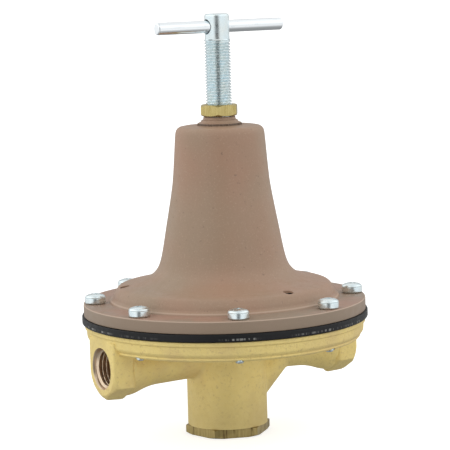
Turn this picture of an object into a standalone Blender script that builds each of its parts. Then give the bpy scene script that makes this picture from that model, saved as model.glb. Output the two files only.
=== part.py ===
"""A small water pressure regulator with a large diaphragm, T-handle screw and threaded side ports.

It stands on its bottom plug: Z runs up the screw's axis from the plug's flat face, X runs along the ports.
Water comes in at the +X port and leaves at the -X port. Sizes below are in millimetres; MM turns them into metres.
"""

import math

import bmesh
import bpy
from mathutils import Matrix, Vector

MM = 0.001
GAP = 0.3  # left between pieces that touch on the real object

# Driving dimensions
FLANGE_R = 63.5
DIAPHRAGM_R = 64.5
BOLT_CIRCLE_R = 58.2
BOLT_COUNT = 8
BOLT_START = -22.5  # degrees; keeps the ports midway between two screws
SCREW_HOLE_R = 2.75

BODY_TOP = 51.8
DIAPHRAGM_BOTTOM = BODY_TOP + GAP
DIAPHRAGM_TOP = 55.2
BELL_BOTTOM = DIAPHRAGM_TOP + GAP
BOLT_LAND = 61.0
BELL_CROWN = 138.9
NUT_SEAT = 142.9

PORT_Z = 35.6
PORT_FACE = 62.2
PORT_BORE_R = 8.3
PORT_CHAMFER_R = 9.2
BOSS_HALF_FLATS = 12.6
BOSS_CORNER_CUT = 8  # degrees each side of the low corner that its rounding takes off
BOSS_BACK = 51.3

HUB_R = 18.04
HUB_BOTTOM = 4.2
PLUG_HEAD_TOP = 3.8
PLUG_FLATS = 33.8
PLUG_TURN = -16.0  # degrees to one corner

STEM_R = 5.55
STEM_TOP = 188.8
STEM_THREAD_TOP = 177.3
STEM_BOTTOM = 131.3
T_BAR_Z = 183.1
T_BAR_R = 2.75
T_BAR_LENGTH = 62.8
T_BAR_SHIFT = 1.3

NUT_FLATS = 15.85
NUT_BOTTOM = 143.5
NUT_TOP = 148.5
NUT_TURN = 58.0  # degrees to one corner

BIG_STEPS = 48  # facets round a large turned piece
SMALL_STEPS = 24
PORT_STEPS = 32  # facets round the necks, bosses and their bores


def clear_scene():
    for old in list(bpy.data.objects):
        bpy.data.objects.remove(old)


def make_material(name, colour, roughness, metallic):
    material = bpy.data.materials.new(name)
    material.use_nodes = True
    shader = material.node_tree.nodes["Principled BSDF"]
    shader.inputs["Base Color"].default_value = (*colour, 1.0)
    shader.inputs["Roughness"].default_value = roughness
    shader.inputs["Metallic"].default_value = metallic
    return material


def finish(name, shape, material):
    """Turns a bmesh into a named object that faces out, with soft curves and crisp edges."""
    bmesh.ops.recalc_face_normals(shape, faces=shape.faces)
    mesh = bpy.data.meshes.new(name)
    shape.to_mesh(mesh)
    shape.free()
    mesh.shade_smooth()
    mesh.set_sharp_from_angle(angle=math.radians(30))
    piece = bpy.data.objects.new(name, mesh)
    bpy.context.scene.collection.objects.link(piece)
    if material:
        mesh.materials.append(material)
    return piece


def turned(name, outline, material=None, steps=SMALL_STEPS, along_x=0):
    """Spins a closed outline of (radius, height) pairs about Z, or about X when along_x is 1 or -1."""
    shape = bmesh.new()
    loop = [shape.verts.new((radius * MM, 0.0, height * MM)) for radius, height in outline]
    edges = []
    for start, end in zip(loop, loop[1:] + loop[:1]):
        if start.co.x > 0 or end.co.x > 0:
            edges.append(shape.edges.new((start, end)))
    bmesh.ops.spin(
        shape, geom=loop + edges, cent=(0, 0, 0), axis=(0, 0, 1), angle=math.tau, steps=steps, use_merge=True
    )
    bmesh.ops.remove_doubles(shape, verts=shape.verts, dist=1e-7)
    if along_x:
        bmesh.ops.rotate(shape, verts=shape.verts, matrix=Matrix.Rotation(along_x * math.pi / 2, 3, "Y"))
    return finish(name, shape, material)


def cylinder(name, radius, low, high, material=None, steps=SMALL_STEPS, along_x=0):
    return turned(name, [(0, low), (radius, low), (radius, high), (0, high)], material, steps, along_x)


def extruded(name, corners, low, high, along_x=False):
    """A prism between two heights, from (x, y) corners, or from (y, z) corners when it runs along X."""
    shape = bmesh.new()
    if along_x:
        points = [(low, first, second) for first, second in corners]
        push = (high - low, 0, 0)
    else:
        points = [(first, second, low) for first, second in corners]
        push = (0, 0, high - low)
    face = shape.faces.new([shape.verts.new(Vector(point) * MM) for point in points])
    made = bmesh.ops.extrude_face_region(shape, geom=[face])
    moved = [item for item in made["geom"] if isinstance(item, bmesh.types.BMVert)]
    bmesh.ops.translate(shape, verts=moved, vec=Vector(push) * MM)
    return finish(name, shape, None)


def hexagon(across_flats, turn=0.0):
    corner_r = across_flats / math.sqrt(3)
    return [
        (corner_r * math.cos(math.radians(turn + 60 * k)), corner_r * math.sin(math.radians(turn + 60 * k)))
        for k in range(6)
    ]


def combine(target, tool, operation):
    """Adds a Boolean to target and hides the tool."""
    tool.hide_render = True
    tool.display_type = "WIRE"
    boolean = target.modifiers.new(f"{operation.title()} {tool.name}", "BOOLEAN")
    boolean.operation = operation
    boolean.object = tool


def bolt_angles():
    return [math.radians(BOLT_START + k * 360 / BOLT_COUNT) for k in range(BOLT_COUNT)]


def drill_bolt_circle(target, label, low, high):
    for k, angle in enumerate(bolt_angles()):
        hole = cylinder(f"{label}_bolt_hole_{k + 1}", SCREW_HOLE_R, low, high, steps=12)
        hole.location = (BOLT_CIRCLE_R * math.cos(angle) * MM, BOLT_CIRCLE_R * math.sin(angle) * MM, 0)
        combine(target, hole, "DIFFERENCE")


def body(brass):
    """The cast body: a dished flange on a hub, a port boss and neck each side, and a sloping inlet passage."""
    outline = [
        (0, HUB_BOTTOM), (HUB_R, HUB_BOTTOM), (HUB_R, 41.5), (19.2, 42.8), (59.8, 42.8), (60.9, 43.8), (62.4, 45.6),
        (62.5, 49.4), (63.2, 49.9), (63.2, BODY_TOP), (50.0, BODY_TOP), (49.0, 46.4), (0, 46.4),
    ]
    piece = turned("body", outline, brass, BIG_STEPS)
    for side, way in ((1, "inlet"), (-1, "outlet")):
        combine(piece, neck(way, side), "UNION")
        combine(piece, boss(way, side), "UNION")
        combine(piece, neck_web(way, side), "UNION")
    combine(piece, inlet_gusset(), "UNION")
    for side, way in ((1, "inlet"), (-1, "outlet")):
        combine(piece, port_bore(way, side), "DIFFERENCE")
    combine(piece, inlet_passage(), "DIFFERENCE")
    valve_bore = [
        (0, HUB_BOTTOM - 1), (16.2, HUB_BOTTOM - 1), (16.2, 5.9), (14.25, 5.9), (14.25, 10.6), (13.4, 10.6),
        (13.4, 26.5), (7.4, 26.5), (7.4, 29.8), (11.5, 29.8), (11.5, 47.5), (0, 47.5),
    ]
    combine(piece, turned("valve_bore", valve_bore, steps=32), "DIFFERENCE")
    drill_bolt_circle(piece, "body", 40, 54)
    return piece


def neck(way, side):
    """The round tube between a boss and the hub. Its outline is read along the port's axis."""
    outline = [(0, 8.0), (9.2, 8.0), (9.3, 23.0), (9.55, 32.0), (9.9, 39.0), (11.0, 44.0), (12.6, 48.6), (13.3, 52.0),
               (0, 52.0)]
    piece = turned(f"{way}_neck", outline, steps=PORT_STEPS, along_x=side)
    piece.location.z = PORT_Z * MM
    return piece


def neck_web(way, side):
    """Walls that carry each neck up into the underside of the flange."""
    low, high = sorted((side * 9.0, side * 51.8))
    corners = [(-8.4, PORT_Z), (8.4, PORT_Z), (8.4, 44.5), (-8.4, 44.5)]
    return extruded(f"{way}_neck_web", corners, low, high, along_x=True)


def boss(way, side):
    """A port's wrench boss: half a hexagon, its low corner rounded, carried square up to the flange, its ends turned."""
    edge_z = BOSS_HALF_FLATS * math.tan(math.radians(30))
    corner_r = BOSS_HALF_FLATS / math.cos(math.radians(30 - BOSS_CORNER_CUT))
    corners = [(BOSS_HALF_FLATS, 13.0), (BOSS_HALF_FLATS, -edge_z)]
    for angle in (math.radians(-90 + BOSS_CORNER_CUT), math.radians(-90 - BOSS_CORNER_CUT)):
        corners.append((corner_r * math.cos(angle), corner_r * math.sin(angle)))
    corners += [(-BOSS_HALF_FLATS, -edge_z), (-BOSS_HALF_FLATS, 13.0)]
    ends = [(BOSS_BACK, 0.9), (BOSS_BACK + 1.3, 1.0), (PORT_FACE - 1.2, 1.0), (PORT_FACE, 0.91)]
    shape = bmesh.new()
    rings = []
    for x, scale in ends:
        rings.append([shape.verts.new((side * x * MM, y * scale * MM, (PORT_Z + z * scale) * MM)) for y, z in corners])
    shape.faces.new(rings[0])
    shape.faces.new(rings[-1])
    for ring, following in zip(rings, rings[1:]):
        for k in range(len(corners)):
            shape.faces.new((ring[k - 1], ring[k], following[k], following[k - 1]))
    return finish(f"{way}_boss", shape, None)


def inlet_gusset():
    """The fat sloping wall round the inlet passage, from the inlet neck down to the hub."""
    piece = cylinder("inlet_gusset", 9.2, -22.0, 9.0, steps=PORT_STEPS)
    piece.rotation_euler.y = math.radians(44)
    piece.location = (22.3 * MM, 0, 32.0 * MM)
    return piece


def port_bore(way, side):
    """A chamfered mouth, the threaded length and the narrower passage behind it."""
    end = 10.0 if way == "outlet" else 24.0
    outline = [
        (0, end), (5.0, end), (5.0, 43.0), (7.6, 46.0), (PORT_BORE_R, PORT_FACE - 1.4),
        (PORT_CHAMFER_R, PORT_FACE), (PORT_CHAMFER_R + 0.9, PORT_FACE + 1), (0, PORT_FACE + 1),
    ]
    piece = turned(f"{way}_port_bore", outline, steps=PORT_STEPS, along_x=side)
    piece.location.z = PORT_Z * MM
    return piece


def inlet_passage():
    """Leads the inlet down to the space under the seat."""
    piece = cylinder("inlet_passage", 4.0, -11.0, 12.0, steps=24)
    piece.rotation_euler.y = math.radians(44)
    piece.location = (20.5 * MM, 0, 27.2 * MM)
    return piece


def bell_housing(coat):
    """The spring housing: a tall tapered bell on a dished flange, with three vents and a threaded crown."""
    outline = [
        (49.5, BELL_BOTTOM), (FLANGE_R, BELL_BOTTOM), (FLANGE_R, 60.2), (62.7, BOLT_LAND), (51.8, BOLT_LAND),
        (51.4, 61.9), (49.8, 63.6), (48.9, 66.2), (47.4, 67.9), (44.0, 68.6), (36.5, 70.5), (31.5, 73.3),
        (29.2, 76.5), (28.1, 79.2), (25.0, 95.5), (22.2, 111.8), (21.5, 117.2), (20.6, 128.0), (20.1, 133.4),
        (19.5, 137.0), (17.6, BELL_CROWN), (10.2, 139.2), (9.0, 140.0), (8.25, 141.3), (7.0, 141.7),
        (7.0, NUT_SEAT), (STEM_R + 0.35, NUT_SEAT), (STEM_R + 0.35, 133.2), (16.4, 133.2), (17.2, 116.0),
        (25.0, 76.5), (28.5, 71.0), (35.5, 67.0), (44.0, 64.8), (47.4, 62.4),
    ]
    piece = turned("bell_housing", outline, coat, BIG_STEPS)
    for k in range(3):
        vent = cylinder(f"vent_{k + 1}", 2.25, 60, 74, steps=12)
        angle = math.radians(40 + 120 * k)
        vent.location = (44.4 * math.cos(angle) * MM, 44.4 * math.sin(angle) * MM, 0)
        combine(piece, vent, "DIFFERENCE")
    drill_bolt_circle(piece, "bell", 54, 63)
    return piece


def diaphragm(rubber):
    """Clamped between the flanges all round its rim and between two plates at its middle."""
    outline = [
        (3.3, DIAPHRAGM_BOTTOM), (DIAPHRAGM_R - 0.3, DIAPHRAGM_BOTTOM), (DIAPHRAGM_R, DIAPHRAGM_BOTTOM + 0.3),
        (DIAPHRAGM_R, DIAPHRAGM_TOP - 0.3), (DIAPHRAGM_R - 0.3, DIAPHRAGM_TOP), (48.6, DIAPHRAGM_TOP),
        (46.4, 56.6), (43.9, DIAPHRAGM_TOP), (3.3, DIAPHRAGM_TOP),
    ]
    piece = turned("diaphragm", outline, rubber, BIG_STEPS)
    drill_bolt_circle(piece, "diaphragm", 50, 57)
    return piece


def cover_screws(zinc):
    """Pan-head screws that clamp both flanges and the diaphragm; their tips show under the body's flange."""
    head = BOLT_LAND + GAP
    outline = [
        (0, 41.6), (1.6, 41.6), (2.41, 42.4), (2.41, head), (4.45, head), (4.3, head + 1.9), (3.5, head + 3.3),
        (1.9, head + 3.9), (0, head + 4.0),
    ]
    for k, angle in enumerate(bolt_angles()):
        screw = turned(f"cover_screw_{k + 1}", outline, zinc, steps=16)
        screw.location = (BOLT_CIRCLE_R * math.cos(angle) * MM, BOLT_CIRCLE_R * math.sin(angle) * MM, 0)
        recess = extruded(f"cross_recess_{k + 1}", cross(2.2, 0.45), head + 2.4, head + 5)
        recess.location = screw.location
        recess.rotation_euler.z = angle
        combine(screw, recess, "DIFFERENCE")


def cross(reach, half_width):
    """The corners of an upright plus sign."""
    arm = [(reach, -half_width), (reach, half_width), (half_width, half_width)]
    return [
        (x * cos - y * sin, x * sin + y * cos) for cos, sin in ((1, 0), (0, 1), (-1, 0), (0, -1)) for x, y in arm
    ]


def adjusting_screw(zinc):
    """The long screw: plain cross-drilled head, threaded length and a coned foot."""
    outline = [
        (0, STEM_BOTTOM), (2.2, STEM_BOTTOM), (4.6, 132.6), (STEM_R, 133.6), (STEM_R, STEM_THREAD_TOP),
        (STEM_R, STEM_TOP - 0.8), (STEM_R - 0.7, STEM_TOP), (0, STEM_TOP),
    ]
    piece = turned("adjusting_screw", outline, zinc)
    hole = cylinder("t_bar_hole", T_BAR_R + 0.35, -10, 10, steps=16, along_x=1)
    hole.location.z = T_BAR_Z * MM
    combine(piece, hole, "DIFFERENCE")
    return piece


def t_bar(steel):
    """The sliding handle bar through the screw's head."""
    half = T_BAR_LENGTH / 2
    outline = [(0, -half), (T_BAR_R - 0.6, -half), (T_BAR_R, -half + 0.6), (T_BAR_R, half - 0.6),
               (T_BAR_R - 0.6, half), (0, half)]
    piece = turned("t_bar", outline, steel, steps=16, along_x=1)
    piece.location = (T_BAR_SHIFT * MM, 0, T_BAR_Z * MM)
    return piece


def chamfered_hexagon(name, across_flats, turn, low, high, bore_r, material, chamfer_low=True, chamfer_high=True):
    """A hexagon whose corners are turned off at 30 degrees on one or both ends, with a hole if bore_r is given."""
    piece = extruded(name, hexagon(across_flats, turn), low, high)
    piece.data.materials.append(material)
    face_r = across_flats / 2 * 0.97
    corner_r = across_flats / math.sqrt(3) + 0.3
    drop = (corner_r - face_r) * math.tan(math.radians(30))
    outline = [
        (bore_r, low - 0.01), (face_r if chamfer_low else corner_r, low - 0.01),
        (corner_r, low + drop if chamfer_low else low + 0.2), (corner_r, high - drop if chamfer_high else high - 0.2),
        (face_r if chamfer_high else corner_r, high + 0.01), (bore_r, high + 0.01),
    ]
    combine(piece, turned(f"{name}_turning", outline), "INTERSECT")
    return piece


def coil_spring(name, mean_r, wire_r, low, high, turns, steel, points_per_turn=16, rounding=1):
    """A compression spring with one closed turn at each end, as a helix with a round section."""
    close_pitch = 2 * wire_r + 0.25
    first = low + wire_r
    last = high - wire_r
    open_pitch = (last - first - 2 * close_pitch) / (turns - 2)
    curve = bpy.data.curves.new(name, "CURVE")
    curve.dimensions = "3D"
    curve.bevel_depth = wire_r * MM
    curve.bevel_resolution = rounding
    curve.use_fill_caps = True
    count = int(turns * points_per_turn) + 1
    spline = curve.splines.new("POLY")
    spline.points.add(count - 1)
    for k, point in enumerate(spline.points):
        turn = k / points_per_turn
        height = first + close_pitch * min(turn, 1) + open_pitch * min(max(turn - 1, 0), turns - 2)
        height += close_pitch * max(turn - turns + 1, 0)
        angle = turn * math.tau
        point.co = (mean_r * math.cos(angle) * MM, mean_r * math.sin(angle) * MM, height * MM, 1)
    curve.materials.append(steel)
    spring = bpy.data.objects.new(name, curve)
    bpy.context.scene.collection.objects.link(spring)
    return spring


def spring_side(zinc, steel, brass):
    """The pieces above the diaphragm: button, main spring, plate and nut."""
    button = [
        (0, 128.2), (8.0, 124.6), (11.0, 124.6), (11.0, 127.9), (15.4, 127.9), (15.4, 130.4), (14.8, 130.9),
        (5.0, 130.9), (2.6, 129.7), (0, 129.7),
    ]
    turned("spring_button", button, zinc)
    coil_spring("adjusting_spring", 13.5, 2.0, 58.8, 127.6, 8, steel)
    plate = [
        (3.3, BELL_BOTTOM), (41.0, BELL_BOTTOM), (42.0, 56.2), (42.0, 58.4), (41.0, 58.4), (40.4, 57.7), (17.6, 57.7),
        (16.6, 58.4), (3.3, 58.4),
    ]
    turned("diaphragm_plate", plate, zinc, steps=48)
    chamfered_hexagon("diaphragm_nut", 11.0, 10, 58.7, 63.2, 3.0, brass)


def valve_side(brass, steel, rubber, fibre):
    """The pieces below the diaphragm: stem, disc and its holder, seat, return spring and bottom plug."""
    washer = [(3.1, 50.0), (19.0, 50.0), (20.0, 50.8), (20.0, 51.8), (3.1, 51.8)]
    turned("diaphragm_washer", washer, brass)
    stem = [
        (0, 6.5), (1.7, 6.5), (2.2, 7.2), (2.2, 45.6), (4.6, 47.2), (4.6, 49.7), (2.7, 49.7), (2.7, 64.2),
        (2.2, 64.6), (0, 64.6),
    ]
    turned("valve_stem", stem, steel, steps=16)
    seat = [
        (4.4, 25.8), (5.0, 24.6), (5.6, 24.6), (6.2, 26.0), (7.05, 26.4), (7.05, 30.9), (9.6, 30.9), (9.6, 32.8),
        (9.0, 33.5), (5.4, 33.5), (4.4, 32.5),
    ]
    turned("seat", seat, steel)
    turned("seat_gasket", [(7.4, 30.1), (9.4, 30.1), (9.4, 30.6), (7.4, 30.6)], fibre)
    turned("valve_disc", [(2.5, 21.6), (6.9, 21.6), (6.9, 24.3), (2.5, 24.3)], rubber)
    holder = [
        (2.5, 17.5), (8.0, 17.5), (8.4, 17.9), (8.4, 22.8), (8.0, 23.2), (7.2, 23.2), (7.2, 21.3), (2.5, 21.3),
    ]
    turned("disc_holder", holder, brass)
    chamfered_hexagon("disc_nut", 7.0, 0, 14.2, 17.2, 2.5, brass)
    coil_spring("bottom_spring", 6.9, 0.6, 4.95, 17.2, 6, steel, points_per_turn=12)
    plug = chamfered_hexagon(
        "bottom_plug", PLUG_FLATS, PLUG_TURN, 0, PLUG_HEAD_TOP, 0, brass, chamfer_low=False, chamfer_high=False
    )
    barrel = [
        (0, 3.0), (13.0, 3.0), (13.9, 4.0), (13.9, 9.2), (13.2, 9.9), (9.5, 9.9), (9.5, 4.6), (4.2, 4.6),
        (4.2, 10.0), (2.6, 10.0), (2.6, 3.4), (0, 3.4),
    ]
    combine(plug, turned("plug_barrel", barrel), "UNION")
    turned("plug_gasket", [(14.25, 4.1), (15.9, 4.1), (15.9, 5.6), (14.25, 5.6)], rubber)
    return plug


def main():
    clear_scene()
    cast_brass = make_material("cast_brass", (0.62, 0.47, 0.20), 0.42, 1.0)
    nut_brass = make_material("yellow_brass", (0.78, 0.60, 0.22), 0.28, 1.0)
    plug_brass = make_material("dark_brass", (0.45, 0.36, 0.20), 0.45, 1.0)
    coat = make_material("bronze_coat", (0.36, 0.25, 0.19), 0.62, 0.1)
    zinc = make_material("zinc_plate", (0.72, 0.76, 0.80), 0.25, 1.0)
    spring_steel = make_material("spring_steel", (0.35, 0.36, 0.38), 0.35, 1.0)
    rubber = make_material("black_rubber", (0.02, 0.02, 0.022), 0.7, 0.0)
    fibre = make_material("gasket_fibre", (0.30, 0.16, 0.10), 0.8, 0.0)

    body(cast_brass)
    bell_housing(coat)
    diaphragm(rubber)
    cover_screws(zinc)
    adjusting_screw(zinc)
    t_bar(zinc)
    chamfered_hexagon("lock_nut", NUT_FLATS, NUT_TURN, NUT_BOTTOM, NUT_TOP, STEM_R + 0.35, nut_brass)
    spring_side(zinc, spring_steel, nut_brass)
    plug = valve_side(nut_brass, spring_steel, rubber, fibre)
    plug.data.materials[0] = plug_brass


main()
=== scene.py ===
"""The looks of a water pressure regulator: detailed meshes, materials, floor, light and camera.

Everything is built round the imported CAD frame. Outlines are (radius, height) pairs in millimetres, as in
the CAD part. MM turns them into Blender's metres.
"""

import math

import bmesh
import bpy
import numpy as np
from mathutils import Matrix, Vector

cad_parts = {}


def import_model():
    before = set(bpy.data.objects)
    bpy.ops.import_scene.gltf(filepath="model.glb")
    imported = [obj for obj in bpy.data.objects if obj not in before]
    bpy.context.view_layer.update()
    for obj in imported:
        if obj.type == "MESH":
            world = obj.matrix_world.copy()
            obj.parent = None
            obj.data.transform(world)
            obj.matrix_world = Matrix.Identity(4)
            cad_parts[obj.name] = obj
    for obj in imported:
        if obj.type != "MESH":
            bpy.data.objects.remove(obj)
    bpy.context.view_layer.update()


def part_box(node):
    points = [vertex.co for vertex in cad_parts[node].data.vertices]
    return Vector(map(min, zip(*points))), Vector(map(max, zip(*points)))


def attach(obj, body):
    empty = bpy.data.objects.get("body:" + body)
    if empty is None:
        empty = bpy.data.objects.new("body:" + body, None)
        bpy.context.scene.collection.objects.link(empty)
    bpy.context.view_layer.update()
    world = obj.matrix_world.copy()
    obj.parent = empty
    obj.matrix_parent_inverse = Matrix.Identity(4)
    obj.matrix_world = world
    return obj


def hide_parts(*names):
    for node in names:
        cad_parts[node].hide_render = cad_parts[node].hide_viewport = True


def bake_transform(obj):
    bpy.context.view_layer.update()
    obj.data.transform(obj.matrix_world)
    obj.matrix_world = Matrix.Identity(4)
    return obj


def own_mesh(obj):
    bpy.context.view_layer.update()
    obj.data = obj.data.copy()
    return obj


MM = 0.001

# The photograph's camera, relative to the object's axis
CAMERA_AZIMUTH = math.radians(28.22)  # from the front, towards the outlet
CAMERA_HEIGHT_ANGLE = math.radians(7.13)
CAMERA_ROLL = math.radians(-1.60)
CAMERA_DISTANCE = 977.34 * MM
CAMERA_AIM_HEIGHT = 94.12 * MM
CAMERA_AIM_SIDE = 1.17 * MM
SENSOR_WIDTH = 36.0
LENS = 173.9888

# Light: (share of the way from straight down to straight up, level)
LIGHT_LEVEL = 1.13
LIGHT_BY_HEIGHT = [
    (0.0, 0.22), (0.15, 0.36), (0.33, 0.70), (0.5, 0.88), (0.65, 1.04), (0.84, 1.14), (0.93, 0.95),
    (1.0, 0.78),
]
LIGHT_COLOUR = (0.98, 0.995, 1.0)
GAP_INNER, GAP_OUTER, GAP_LEVEL = 9, 25, 0.15  # the dark gap's half-widths in degrees, and its light
BEHIND_INNER, BEHIND_OUTER, BEHIND_LOSS = 20, 50, 0.5  # the same behind the object, and the light lost there
GAP_TOP_START, GAP_TOP_END, GAP_TOP_SHARE = 0.40, 0.85, 0.25  # both fade with height to this share
LEFT_EXTRA = 0.05  # share of light added on the camera's left and taken from its right
BOUNCE, BOUNCE_DEPTH = 0.45, -0.35  # light from the table in front, reached this far below the horizon
FLOOR_REACH = 16.0  # metres from the middle to an edge
FLOOR_GLOW = 0.72

# Threads
SCREW_PITCH = 1.27
SCREW_THREAD_DEPTH = 0.85
PIPE_PITCH = 1.85
PIPE_THREAD_DEPTH = 1.05
PIPE_TAPER = 1 / 32  # change of radius along the axis
COVER_PITCH = 0.794
COVER_THREAD_DEPTH = 0.42
PLUG_PITCH = 1.27
PLUG_THREAD_DEPTH = 0.6
FLANK_SLOPE, ROOT_FLAT = 1.5, 0.14  # shape of a tooth: steepness, and how much of its foot is flat
THREAD_STEP = 0.1  # spacing of rings along a thread

# Bands on the bell, real rubs and painted highlights: (height, half-width, strength, patchy, colour)
RUBS_AND_PAINTED_HIGHLIGHTS_ON_BELL = [
    (61.0, 0.35, 0.39, True, (0.52, 0.22, 0.15)),  # redder rubs on the bolt land
    (60.68, 0.22, 0.8, False, (0.56, 0.42, 0.32)),  # painted highlight along the land's rounded outer edge
    (62.0, 0.35, 0.5, False, (0.60, 0.45, 0.34)),  # painted highlight along the foot of the dome
]

BOLT_CIRCLE_R = 58.2
BOLT_COUNT = 8
BOLT_START = -22.5
BOLT_HOLE_R = 2.6
HEAD_SEAT = 61.02
VENT_CIRCLE_R = 45.0
VENT_COUNT = 3
VENT_START = 40
CROWN_DROP = 4.0  # from the bell's top to its crown
COLLAR_RISE = 0.95  # from the crown to the middle of the toothed ring
COLLAR_TEETH = 72
PORT_FACE = 62.2
PORT_Z = 35.6
PASSAGE_SLOPE = 44
SHEET_TOP = 55.2
PLATE_TOP = 58.4
ROUND = 128  # facets round a turned piece
FINE_ROUND = 288


# ---------------------------------------------------------------- frame sizes


def low_high(node):
    """A CAD node's box in millimetres."""
    low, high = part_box(node)
    return np.array(low) / MM, np.array(high) / MM


# ---------------------------------------------------------------- mesh tools


def link(name, mesh):
    piece = bpy.data.objects.new(name, mesh)
    bpy.context.scene.collection.objects.link(piece)
    return piece


def face_out(mesh, join_within=1e-8):
    """Joins points closer than join_within metres and turns every face outwards."""
    shape = bmesh.new()
    shape.from_mesh(mesh)
    bmesh.ops.remove_doubles(shape, verts=shape.verts, dist=join_within)
    bmesh.ops.recalc_face_normals(shape, faces=shape.faces)
    shape.to_mesh(mesh)
    shape.free()


def arc_corners(points, steps=4):
    """Turns each (first, second, fillet) into an arc and passes pairs through. The list counts as closed."""
    outline = []
    count = len(points)
    for k, point in enumerate(points):
        here = np.array(point[:2], float)
        if len(point) == 2:
            outline.append(tuple(here))
            continue
        before = np.array(points[k - 1][:2], float) - here
        after = np.array(points[(k + 1) % count][:2], float) - here
        reach = min(point[2], 0.49 * np.linalg.norm(before), 0.49 * np.linalg.norm(after))
        start = here + before / np.linalg.norm(before) * reach
        end = here + after / np.linalg.norm(after) * reach
        for step in range(steps + 1):
            share = step / steps
            bend = (1 - share) ** 2 * start + 2 * share * (1 - share) * here + share**2 * end
            outline.append(tuple(bend))
    return outline


def curve_through(points, steps=8):
    """A smooth curve through a few (radius, height) points, ends included."""
    ends = [2 * np.array(points[0], float) - points[1], 2 * np.array(points[-1], float) - points[-2]]
    all_points = [ends[0], *[np.array(point, float) for point in points], ends[1]]
    outline = []
    for a, b, c, d in zip(all_points, all_points[1:], all_points[2:], all_points[3:]):
        for step in range(steps):
            t = step / steps
            square = (2 * a - 5 * b + 4 * c - d) * t**2
            cube = (3 * b - a - 3 * c + d) * t**3
            outline.append(tuple(0.5 * (2 * b + (c - a) * t + square + cube)))
    outline.append(tuple(points[-1]))
    return outline


def straight(start, end, spacing):
    """Points from start up to, not including, end, at most spacing apart."""
    start, end = np.array(start, float), np.array(end, float)
    count = max(1, math.ceil(np.linalg.norm(end - start) / spacing))
    return [tuple(start + (end - start) * k / count) for k in range(count)]


def lathe(name, outline, steps=ROUND, ripple=None, along_x=0):
    """Spins a closed outline about Z, or about X. ripple(angles, radius, height) gives a ring's own radii."""
    angles = np.arange(steps) * math.tau / steps
    verts, rings = [], []
    for radius, height in outline:
        if radius <= 1e-9:
            rings.append(np.full(steps, len(verts)))
            verts.append((0.0, 0.0, height))
            continue
        radii = np.full(steps, radius) if ripple is None else ripple(angles, radius, height)
        rings.append(np.arange(steps) + len(verts))
        verts.extend(zip(radii * np.cos(angles), radii * np.sin(angles), np.full(steps, height)))
    faces = []
    for k, ring in enumerate(rings):
        other = rings[(k + 1) % len(rings)]
        on_axis, other_on_axis = ring[0] == ring[1], other[0] == other[1]
        if on_axis and other_on_axis:
            continue
        turned, other_turned = np.roll(ring, -1), np.roll(other, -1)
        if on_axis:
            faces.extend(zip(ring, other, other_turned))
        elif other_on_axis:
            faces.extend(zip(ring, other, turned))
        else:
            faces.extend(zip(ring, other, other_turned, turned))
    mesh = bpy.data.meshes.new(name)
    mesh.from_pydata([Vector(v) * MM for v in verts], [], [[int(i) for i in face] for face in faces])
    if along_x:
        mesh.transform(Matrix.Rotation(along_x * math.pi / 2, 4, "Y"))
    face_out(mesh)
    return link(name, mesh)


def prism(name, corners, low, high, along_x=False, shrink_low=1.0):
    """Extrudes (x, y) corners upwards, or (y, z) corners along X. shrink_low tapers the low end."""
    count = len(corners)
    verts = []
    for level, scale in ((low, shrink_low), (high, 1.0)):
        for first, second in corners:
            point = (first * scale, second * scale, level)
            verts.append((level, first, second) if along_x else point)
    faces = [list(range(count)), list(range(count, 2 * count))]
    faces += [[k, (k + 1) % count, (k + 1) % count + count, k + count] for k in range(count)]
    mesh = bpy.data.meshes.new(name)
    mesh.from_pydata([Vector(v) * MM for v in verts], [], faces)
    face_out(mesh)
    return link(name, mesh)


def hexagon(across_flats, turn):
    radius = across_flats / math.sqrt(3)
    return [
        (radius * math.cos(math.radians(turn + 60 * k)), radius * math.sin(math.radians(turn + 60 * k)))
        for k in range(6)
    ]


def place(piece, x=0.0, y=0.0, z=0.0, turn_y=0.0, turn_z=0.0):
    """Moves the mesh itself, in millimetres and degrees, so that a piece keeps the frame's origin."""
    move = Matrix.Translation(Vector((x, y, z)) * MM)
    turn = Matrix.Rotation(math.radians(turn_z), 4, "Z") @ Matrix.Rotation(math.radians(turn_y), 4, "Y")
    piece.data.transform(move @ turn)
    return piece


def bake(piece):
    """Applies the piece's modifiers."""
    graph = bpy.context.evaluated_depsgraph_get()
    mesh = bpy.data.meshes.new_from_object(piece.evaluated_get(graph))
    piece.modifiers.clear()
    piece.data = mesh
    return piece


def combine(target, tools, operation, solver="EXACT"):
    """Booleans each tool onto target and removes the tools."""
    tools = tools if isinstance(tools, list) else [tools]
    for tool in tools:
        boolean = target.modifiers.new("Boolean", "BOOLEAN")
        boolean.operation = operation
        boolean.solver = solver
        boolean.object = tool
        if solver == "EXACT":
            boolean.material_mode = "TRANSFER"
    bpy.context.view_layer.update()
    bake(target)
    for tool in tools:
        bpy.data.objects.remove(tool)
    return target


def bevel(piece, width):
    """Softens the piece's sharp edges by this many millimetres."""
    modifier = piece.modifiers.new("Bevel", "BEVEL")
    modifier.width = width * MM
    modifier.segments = 2
    modifier.limit_method = "ANGLE"
    modifier.angle_limit = math.radians(30)
    return bake(piece)


def paint(piece, material):
    """Gives the piece this material if it has none of its own."""
    if not any(piece.data.materials):
        piece.data.materials.clear()
        piece.data.materials.append(material)
    return piece


def dress(piece, material, body, node, slot, sharp=32):
    """Finishes a piece: material, shading, and what it stands for. A piece given no body is left unattached.
    """
    paint(piece, material)
    piece.data.shade_smooth()
    piece.data.set_sharp_from_angle(angle=math.radians(sharp))
    if body:
        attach(piece, body)
    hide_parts(node)
    return piece


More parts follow.
